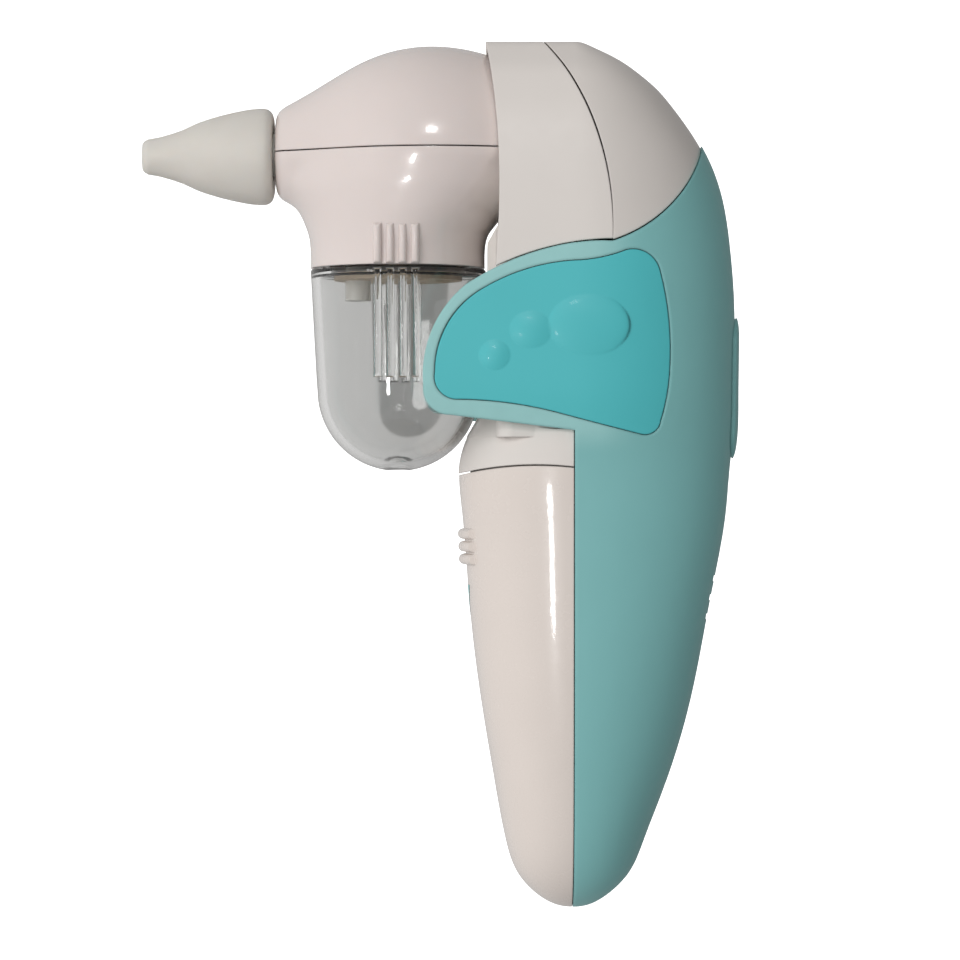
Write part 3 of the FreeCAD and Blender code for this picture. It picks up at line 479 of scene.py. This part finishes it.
class ASPIRATOR_OT_nose_tip(bpy.types.Operator):
    """Soft tip with a flared body and a rolled mouth"""
    bl_idname = "aspirator.nose_tip"
    bl_label = "Nose tip"

    def execute(self, context):
        size = sized()
        front, back = TIP_FRONT / MM, TIP_BACK / MM
        mouth, collar, bore = size.tip_mouth / MM, size.tip_collar / MM, size.tip_bore / MM
        rim = [(front + 0.55, bore), (front + 0.12, bore + 0.45), (front, bore + 0.95),
               (front + 0.28, mouth), (front + 1.0, mouth + 0.42)]
        flank = curve_through([(front + 1.0, mouth + 0.42), (front + 3.6, 3.86),
                               (front + 7.4, 5.05), (front + 10.9, 6.6), (front + 15.5, 8.0),
                               (front + 20.0, 8.95), (front + 22.6, collar)], 5)
        shoulder = curve_through([(front + 22.6, collar), (back - 1.2, 9.05),
                                  (back - 0.35, 8.4), (back, 7.5)], 4)
        socket = [(back, 4.6), (back - 0.5, 4.1), (-66.9, 4.1), (-67.6, 3.7),
                  (front + 6.0, bore)]
        outline = rim[:-1] + [tuple(p) for p in flank[:-1]] + [tuple(p) for p in shoulder]
        shape = spun(about_nozzle(outline + socket), (0, 0, NOZZLE_Z), ALONG, 72)
        # The soft body sags a little, while the socket stays in line with the spigot.
        socket_front, socket_reach, sag = -70 * MM, 4.7 * MM, 0.4 * MM
        for vert in shape.verts:
            reach = math.hypot(vert.co.y, vert.co.z - NOZZLE_Z)
            if vert.co.x < socket_front or reach > socket_reach:
                vert.co.z -= sag
        add_piece("soft_nose_tip", shape, "nose_tip", "soft_silicone", "nose_tip")
        return {"FINISHED"}


def snout_levels():
    """Level sections of the lower snout: height, middle, front, back, half width, fullness."""
    top = NOZZLE_Z / MM
    return [(top, -27.0, 29.0, 27.0, 20.5, 1.8),
            (86.0, -28.6, 26.9, 21.6, 19.9, 1.85), (81.0, -30.4, 21.4, 17.4, 18.8, 1.95),
            (77.0, -32.2, 18.0, 15.9, 17.6, 2.0), (74.0, -33.0, 16.9, 16.3, 16.8, 2.0),
            (68.0, -33.2, 16.7, 16.6, 16.5, 2.0)]


def level_ring(shape, height, middle, front, back, half, power, sides=72):
    """A closed ring at one height, fuller or rounder by its power."""
    made = bmesh.ops.create_circle(shape, segments=sides, radius=1.0)
    for vert in made["verts"]:
        across, ahead = vert.co.y, vert.co.x
        reach = back if ahead > 0 else front
        fullness = 2.0 if ahead > 0 else power
        x = math.copysign(abs(ahead) ** (2 / fullness), ahead) * reach
        y = math.copysign(abs(across) ** (2 / fullness), across) * half
        vert.co = Vector(((middle + x) * MM, y * MM, height * MM))
    return [edge for edge in shape.edges if edge.verts[0] in made["verts"]
            and edge.verts[1] in made["verts"]]


def stacked_rings(rows, sides=72):
    """Rings bridged into a closed solid."""
    shape = bmesh.new()
    rings = [level_ring(shape, *row, sides=sides) for row in rows]
    for lower, upper in zip(rings, rings[1:]):
        bmesh.ops.bridge_loops(shape, edges=lower + upper)
    for ring in (rings[0], rings[-1]):
        bmesh.ops.contextual_create(shape, geom=ring)
    bmesh.ops.recalc_face_normals(shape, faces=shape.faces)
    return shape


class ASPIRATOR_OT_snout(bpy.types.Operator):
    """Upper and lower gloss shells of the snout, with grip ribs"""
    bl_idname = "aspirator.snout"
    bl_label = "Snout shells"

    def execute(self, context):
        size = sized()
        crest = curve_through([(-56.5, 7.3), (-56.25, 8.0), (-55.2, 8.95), (-53.5, 9.85),
                               (-50.0, 11.8), (-44.7, 15.0), (-40.0, 17.6), (-35.0, 19.5),
                               (-30.0, 20.45), (-25.5, 20.6), (-21.0, 20.15),
                               (-16.5, 19.1), (-12.0, 17.6)], 5)
        profile = [(-56.5, 0.0)] + [tuple(p) for p in crest] + [(-12.0, 0.0)]
        dome = spun(about_nozzle(profile), (0, 0, NOZZLE_Z), ALONG, 96, closed=False)
        bmesh.ops.recalc_face_normals(dome, faces=dome.faces)
        dome = halved(dome, (0, 0, NOZZLE_Z - 2 * MM), -UP, fill=True)
        neck = spun(about_nozzle([(-56.5, 0), (-56.5, 7.3), (-56.2, 8.0), (-55.2, 8.9),
                                  (-53.0, 9.8), (-45, 9.8), (-45, 0)]),
                    (0, 0, NOZZLE_Z), ALONG, 48, closed=False)
        bmesh.ops.recalc_face_normals(neck, faces=neck.faces)
        lower = stacked_rings(snout_levels())
        solid = combined(combined(dome, lower, "UNION"), neck, "UNION")
        voxel, smooth_steps = 0.62 * MM, 16
        solid = remeshed(solid, voxel, smooth_steps)
        whole = solid.copy()
        seam = 0.13 * MM
        upper = halved(solid, (0, 0, NOZZLE_Z + seam), -UP)
        lower = halved(whole, (0, 0, NOZZLE_Z - seam), UP)
        lower = halved(lower, (0, 0, CUP_RIM), -UP)
        for name, shell, node in (("snout_top", upper, "snout_upper_shell"),
                                  ("snout_base", lower, "snout_lower_shell")):
            shell = halved(shell, (SNOUT_BACK, 0, 0), ALONG)
            front_cap = [face for face in shell.faces
                         if face.calc_center_median().x < SNOUT_FRONT + 0.3 * MM
                         and abs(face.calc_center_median().z - NOZZLE_Z) < 5 * MM
                         and abs(face.calc_center_median().y) < 5 * MM]
            bmesh.ops.delete(shell, geom=front_cap, context="FACES")
            piece = add_piece(name, shell, "snout", "warm_white_gloss", node)
            walled(piece, size.shell_wall)
            edge_softened(piece, 0.3 * MM)
        self.add_ribs()
        return {"FINISHED"}

    def add_ribs(self):
        size = sized()
        ribs = bmesh.new()
        for side in (-1, 1):
            for number in range(4):
                bar = rounded_bar(7.4 * MM, size.rib_width, size.rib_height + 0.6 * MM)
                lean = Matrix.Rotation(math.radians(-7.0), 4, "X")
                bmesh.ops.transform(bar, matrix=lean, verts=bar.verts)
                x = CUP_X + (number - 1.5) * size.rib_pitch
                bmesh.ops.translate(bar, vec=(x, 16.55 * MM, 74.7 * MM), verts=bar.verts)
                bmesh.ops.scale(bar, vec=(1, side, 1), verts=bar.verts)
                joined_into(ribs, bar)
        add_piece("snout_grip_ribs", ribs, "snout", "warm_white_gloss")


class ASPIRATOR_OT_cup(bpy.types.Operator):
    """Clear collection cup with a round bottom, a foot button and grip ribs"""
    bl_idname = "aspirator.cup"
    bl_label = "Collection cup"

    def dimpled(self, ball, dimple, gap, middle):
        """Round bottom with a dimple pushed in: points from the side to the axis."""
        along = (gap ** 2 + ball ** 2 - dimple ** 2) / (2 * gap)
        reach = math.sqrt(ball ** 2 - along ** 2)
        low = math.degrees(math.atan2(-along, reach))
        start = math.degrees(math.atan2(gap - along, reach))
        return [tuple(p) for p in arc((0, middle), ball, -1, low, 24)] + \
            [tuple(p) for p in arc((0, middle - gap), dimple, start, 90, 8)[1:]]

    def execute(self, context):
        size = sized()
        wall = size.cup_wall / MM
        ball, middle, rim, wide = 15.4, 47.6, CUP_RIM / MM - 0.2, 16.7
        neck, top = 14.2, CUP_TOP / MM
        dimple, gap = 2.6, ball + 1.2
        side = [(neck, top), (neck, rim), (wide - 0.3, rim), (wide, rim - 0.3)]
        taper = curve_through([(wide, rim - 0.3), (16.15, 60.0), (ball + 0.05, middle)], 6)
        outside = side[:-1] + [tuple(p) for p in taper[:-1]] + \
            self.dimpled(ball, dimple, gap, middle)
        inside = self.dimpled(ball - wall, dimple + wall, gap, middle)[::-1] + \
            [(wide - wall - 0.05, rim - 1.7), (wide - wall - 0.5, rim - 1.25),
             (neck - 1.3, rim - 1.0), (neck - 1.3, top)]
        shape = spun(about_cup(outside), (CUP_X, 0, 0), UP, 96, closed=False)
        hollow = spun(about_cup(inside), (CUP_X, 0, 0), UP, 96, closed=False)
        joined_into(shape, hollow)
        bmesh.ops.remove_doubles(shape, verts=shape.verts, dist=0.002 * MM)
        lips = [edge for edge in shape.edges if edge.is_boundary]
        bmesh.ops.bridge_loops(shape, edges=lips)
        bmesh.ops.recalc_face_normals(shape, faces=shape.faces)
        for side_sign in (-1, 1):
            for number in range(4):
                bar = rounded_bar(20.4 * MM, size.rib_width, size.rib_height + 0.5 * MM)
                lean = Matrix.Rotation(math.radians(-3.0), 4, "X")
                bmesh.ops.transform(bar, matrix=lean, verts=bar.verts)
                x = CUP_X + (number - 1.5) * size.rib_pitch
                bmesh.ops.translate(bar, vec=(x, 15.65 * MM, 59.9 * MM), verts=bar.verts)
                bmesh.ops.scale(bar, vec=(1, side_sign, 1), verts=bar.verts)
                bmesh.ops.recalc_face_normals(bar, faces=bar.faces)
                shape = combined(shape, bar, "UNION")
        add_piece("clear_cup", shape, "cup", "clear_plastic", "collection_cup")
        return {"FINISHED"}


def merged_copy(node_name):
    """The mesh of a design piece, its doubled vertices merged."""
    shape = bmesh.new()
    shape.from_mesh(frame["nodes"][node_name].data)
    bmesh.ops.remove_doubles(shape, verts=shape.verts, dist=0.002 * MM)
    return shape


class ASPIRATOR_OT_ear_inlays(bpy.types.Operator):
    """Turquoise ear inlays with a raised motif of three bubbles"""
    bl_idname = "aspirator.ear_inlays"
    bl_label = "Ear inlays"

    def execute(self, context):
        # Centre along X and Z, half length and half height, in millimetres.
        bubbles = [(2.6, 59.2, 6.7, 5.1), (-8.2, 58.3, 3.5, 3.1), (-14.9, 53.6, 2.6, 2.5)]
        for node_name, side in (("ear_inlay_left", 1), ("ear_inlay_right", -1)):
            node = frame["nodes"][node_name]
            shape = merged_copy(node_name)
            for x, z, long_half, short_half in bubbles:
                hit, spot, normal, _ = node.ray_cast((x * MM, side * 60 * MM, z * MM),
                                                     (0, -side, 0))
                if not hit:
                    raise RuntimeError("no surface under a bubble of " + node_name)
                joined_into(shape, self.bubble(spot, normal, long_half, short_half))
            add_piece("bubble_" + node_name.replace("ear_", ""), shape, "housing",
                      "turquoise_inlay", node_name)
        return {"FINISHED"}

    def bubble(self, spot, normal, long_half, short_half):
        """A shallow domed oval, sunk a little into the surface."""
        height, sunk = sized().relief, 0.5
        dome = bmesh.new()
        bmesh.ops.create_uvsphere(dome, u_segments=64, v_segments=24, radius=1.0)
        reach = 1 / math.sqrt(1 - sunk ** 2)
        bmesh.ops.scale(dome, vec=(long_half * MM * reach, short_half * MM * reach,
                                   height / (1 - sunk)), verts=dome.verts)
        bmesh.ops.translate(dome, vec=(0, 0, -sunk * height / (1 - sunk)), verts=dome.verts)
        across = normal.cross(ALONG).normalized()
        ahead = across.cross(normal).normalized()
        turn = Matrix((ahead, across, normal)).transposed().to_4x4()
        bmesh.ops.transform(dome, matrix=Matrix.Translation(spot) @ turn, verts=dome.verts)
        return halved(dome, spot - normal * 0.3 * MM, -normal, fill=True)


class ASPIRATOR_OT_power_button(bpy.types.Operator):
    """Cushion-shaped power button on the spine"""
    bl_idname = "aspirator.power_button"
    bl_label = "Power button"

    def execute(self, context):
        button = frame["nodes"]["power_button"]
        low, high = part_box("power_button")
        half = (high.y - low.y) / 2 - 0.1 * MM
        straight = (high.z - low.z) / 2 - 0.1 * MM - half
        middle, proud = (high.z + low.z) / 2, 0.45 * MM
        shape = bmesh.new()
        bmesh.ops.create_grid(shape, x_segments=28, y_segments=48, size=1.0)
        for vert in shape.verts:
            a, b = vert.co.x, vert.co.y
            u, v = a * math.sqrt(1 - b * b / 2), b * math.sqrt(1 - a * a / 2)
            z = middle + half * v + straight * max(-1.0, min(1.0, v / 0.25))
            hit, spot, _, _ = button.ray_cast((80 * MM, half * u, z), (-1, 0, 0))
            if not hit:
                raise RuntimeError("no button under its cushion")
            edge = math.hypot(u, v)
            vert.co = spot - ALONG * proud * (0.1 + 0.9 * edge ** 6)
        piece = add_piece("spine_button", shape, "power_button", "teal_soft_touch",
                          "power_button")
        walled(piece, 1.5 * MM)
        return {"FINISHED"}


class ASPIRATOR_OT_door_mark(bpy.types.Operator):
    """Printed triangle that shows which way the battery door slides"""
    bl_idname = "aspirator.door_mark"
    bl_label = "Door mark"

    def execute(self, context):
        low, high, half = 3.6 * MM, 10.6 * MM, 4.6 * MM
        shape = bmesh.new()
        bmesh.ops.create_grid(shape, x_segments=24, y_segments=24, size=0.5)
        bmesh.ops.scale(shape, vec=(2 * half, high - low, 1), verts=shape.verts)
        bmesh.ops.translate(shape, vec=(0, (low + high) / 2, 0), verts=shape.verts)
        for side in (-1, 1):
            halved(shape, (0, low, 0), Vector((side * (high - low), -half, 0)).normalized())
        door = frame["nodes"]["battery_door"]
        for vert in shape.verts:
            hit, spot, _, _ = door.ray_cast((-60 * MM, vert.co.x, vert.co.y), (1, 0, 0))
            if not hit:
                raise RuntimeError("no door under the mark")
            vert.co = spot - ALONG * 0.04 * MM
        add_piece("door_triangle", shape, "battery_door", "teal_soft_touch")
        return {"FINISHED"}


class ASPIRATOR_OT_cad_finishes(bpy.types.Operator):
    """Gives every kept design piece the finish of its slot"""
    bl_idname = "aspirator.cad_finishes"
    bl_label = "Finishes of kept pieces"

    def execute(self, context):
        for row in frame["record"]["subparts"]:
            node = frame["nodes"][row["node"]]
            node.data.materials.clear()
            node.data.materials.append(finish(row["material_slot"]))
        return {"FINISHED"}


class ASPIRATOR_OT_stage(bpy.types.Operator):
    """Pale sweep, soft lights and the camera"""
    bl_idname = "aspirator.stage"
    bl_label = "Stage"

    def execute(self, context):
        scene = context.scene
        self.add_sweep()
        self.add_softbox("key", (-0.62, -0.80, 0.30), (-0.02, 0, 0.05), 0.5, 0.5, 3.4, False)
        self.add_softbox("spot", (-0.03, -0.70, 0.38), (-0.02, 0, 0.08), 0.11, 0.11, 0.5)
        self.add_softbox("strip", (-0.20, -0.75, -0.03), (-0.01, 0, -0.01), 0.06, 0.05, 0.3)
        self.add_tent(scene)
        self.add_painted_shade_sheet()
        camera = bpy.data.cameras.new("camera")
        camera.sensor_width = 36.0
        distance, field = 0.700, 0.1831
        camera.lens = camera.sensor_width * distance / field
        camera.clip_start, camera.clip_end = 0.05, 20
        viewer = bpy.data.objects.new("camera", camera)
        scene.collection.objects.link(viewer)
        viewer.location = (-17.6 * MM, -distance, 30.5 * MM)
        viewer.rotation_euler = (math.radians(90), 0, 0)
        scene.camera = viewer
        scene.view_settings.view_transform = "Standard"
        scene.view_settings.look = "None"
        return {"FINISHED"}

    def add_painted_shade_sheet(self):
        """Round-ended glowing sheet, dim and seen only through the clear cup: painted shade
        that gives the cup its darker side.
        """
        shape = bmesh.new()
        width, height, corner_round = 44 * MM, 92 * MM, 21 * MM
        bmesh.ops.create_grid(shape, x_segments=2, y_segments=2, size=0.5)
        bmesh.ops.scale(shape, vec=(width, height, 1), verts=shape.verts)
        corners = [vert for vert in shape.verts
                   if abs(vert.co.x) > 0.4 * width and abs(vert.co.y) > 0.4 * height]
        bmesh.ops.bevel(shape, geom=corners, offset=corner_round, offset_type="OFFSET",
                        segments=12, profile=0.5, affect="VERTICES", material=-1)
        bmesh.ops.rotate(shape, matrix=Matrix.Rotation(math.radians(90), 3, "X"),
                         verts=shape.verts)
        behind_cup = Vector((-29 * MM, 300 * MM, 66 * MM))
        bmesh.ops.translate(shape, vec=behind_cup, verts=shape.verts)
        mesh = bpy.data.meshes.new("painted_shade_card")
        shape.to_mesh(mesh)
        shape.free()
        shade_sheet = bpy.data.objects.new("painted_shade_card", mesh)
        bpy.context.scene.collection.objects.link(shade_sheet)
        material, _, _, shader = fresh_material("painted_shade_glow")
        # Painted shade: a black sheet that glows dimly, is no lamp, and shows only through the
        # clear cup.
        shader.inputs["Base Color"].default_value = (0.02, 0.02, 0.02, 1)
        shader.inputs["Roughness"].default_value = 0.9
        shader.inputs["Emission Color"].default_value = (1, 1, 0.98, 1)
        shader.inputs["Emission Strength"].default_value = 0.24
        mesh.materials.append(material)
        shade_sheet.visible_camera = shade_sheet.visible_diffuse = shade_sheet.visible_glossy = False

    def add_tent(self, scene):
        """Pale light tent, brighter on the nozzle's side."""
        world = bpy.data.worlds.new("light_tent")
        world.use_nodes = True
        nodes, links = world.node_tree.nodes, world.node_tree.links
        place = nodes.new("ShaderNodeTexCoord")
        split = nodes.new("ShaderNodeSeparateXYZ")
        links.new(place.outputs["Generated"], split.inputs["Vector"])
        ranged = nodes.new("ShaderNodeMapRange")
        ranged.interpolation_type = "SMOOTHSTEP"
        ranged.inputs["From Min"].default_value = -0.9
        ranged.inputs["From Max"].default_value = 0.9
        ranged.inputs["To Min"].default_value = 0.74
        ranged.inputs["To Max"].default_value = 0.27
        links.new(split.outputs["X"], ranged.inputs["Value"])
        back = nodes["Background"]
        back.inputs["Color"].default_value = (1, 0.99, 0.98, 1)
        links.new(ranged.outputs["Result"], back.inputs["Strength"])
        scene.world = world

    def add_sweep(self):
        """Floor that curves up into a backdrop."""
        shape = bmesh.new()
        floor, depth, wide, high, near, round_off = -0.075, 0.9, 2.4, 2.4, -2.0, 0.5
        bend = arc((depth - round_off, floor + round_off), round_off, -90, 0, 16)
        line = [(near, floor), (depth - round_off, floor)] + [tuple(p) for p in bend] + \
            [(depth, high)]
        _, edges = chain(shape, [Vector((-wide, y, z)) for y, z in line])
        made = bmesh.ops.extrude_edge_only(shape, edges=edges)
        moved = [item for item in made["geom"] if isinstance(item, bmesh.types.BMVert)]
        bmesh.ops.translate(shape, vec=(2 * wide, 0, 0), verts=moved)
        for face in shape.faces:
            face.smooth = True
        mesh = bpy.data.meshes.new("sweep")
        shape.to_mesh(mesh)
        shape.free()
        sweep = bpy.data.objects.new("sweep", mesh)
        bpy.context.scene.collection.objects.link(sweep)
        material, _, _, shader = fresh_material("sweep_paper")
        shader.inputs["Base Color"].default_value = (0.9, 0.9, 0.9, 1)
        shader.inputs["Roughness"].default_value = 0.9
        shader.inputs["Emission Color"].default_value = (1, 1, 1, 1)
        shader.inputs["Emission Strength"].default_value = 1.0
        mesh.materials.append(material)
        sweep.visible_diffuse = sweep.visible_glossy = sweep.visible_transmission = False

    def add_softbox(self, name, place, aim, width, height, power, mirrored=True):
        light = bpy.data.lights.new(name, "AREA")
        light.shape, light.size, light.size_y = "ELLIPSE", width, height
        light.energy = power
        box = bpy.data.objects.new(name, light)
        bpy.context.scene.collection.objects.link(box)
        box.visible_glossy = mirrored
        box.location = place
        box.rotation_euler = (Vector(aim) - Vector(place)).to_track_quat("-Z", "Y").to_euler()


class ASPIRATOR_PT_panel(bpy.types.Panel):
    """Lists the steps that build the aspirator"""
    bl_idname = "ASPIRATOR_PT_panel"
    bl_label = "Nasal aspirator"
    bl_space_type = "VIEW_3D"
    bl_region_type = "UI"
    bl_category = "Aspirator"

    def draw(self, context):
        column = self.layout.column()
        for operator in OPERATORS:
            column.operator(operator.bl_idname)
        for group in (context.scene.aspirator_sizes, context.scene.aspirator_colours):
            for name in group.__annotations__:
                column.prop(group, name)


OPERATORS = (ASPIRATOR_OT_cad_finishes, ASPIRATOR_OT_nose_tip, ASPIRATOR_OT_snout,
             ASPIRATOR_OT_cup, ASPIRATOR_OT_ear_inlays, ASPIRATOR_OT_power_button,
             ASPIRATOR_OT_door_mark, ASPIRATOR_OT_stage)
CLASSES = (AspiratorSizes, AspiratorColours) + OPERATORS + (ASPIRATOR_PT_panel,)


def register():
    for item in CLASSES:
        bpy.utils.register_class(item)
    bpy.types.Scene.aspirator_sizes = bpy.props.PointerProperty(type=AspiratorSizes)
    bpy.types.Scene.aspirator_colours = bpy.props.PointerProperty(type=AspiratorColours)


def unregister():
    del bpy.types.Scene.aspirator_colours
    del bpy.types.Scene.aspirator_sizes
    for item in reversed(CLASSES):
        bpy.utils.unregister_class(item)


def main():
    register()
    for operator in OPERATORS:
        group, step = operator.bl_idname.split(".")
        getattr(getattr(bpy.ops, group), step)()


if __name__ == "__main__":
    main()
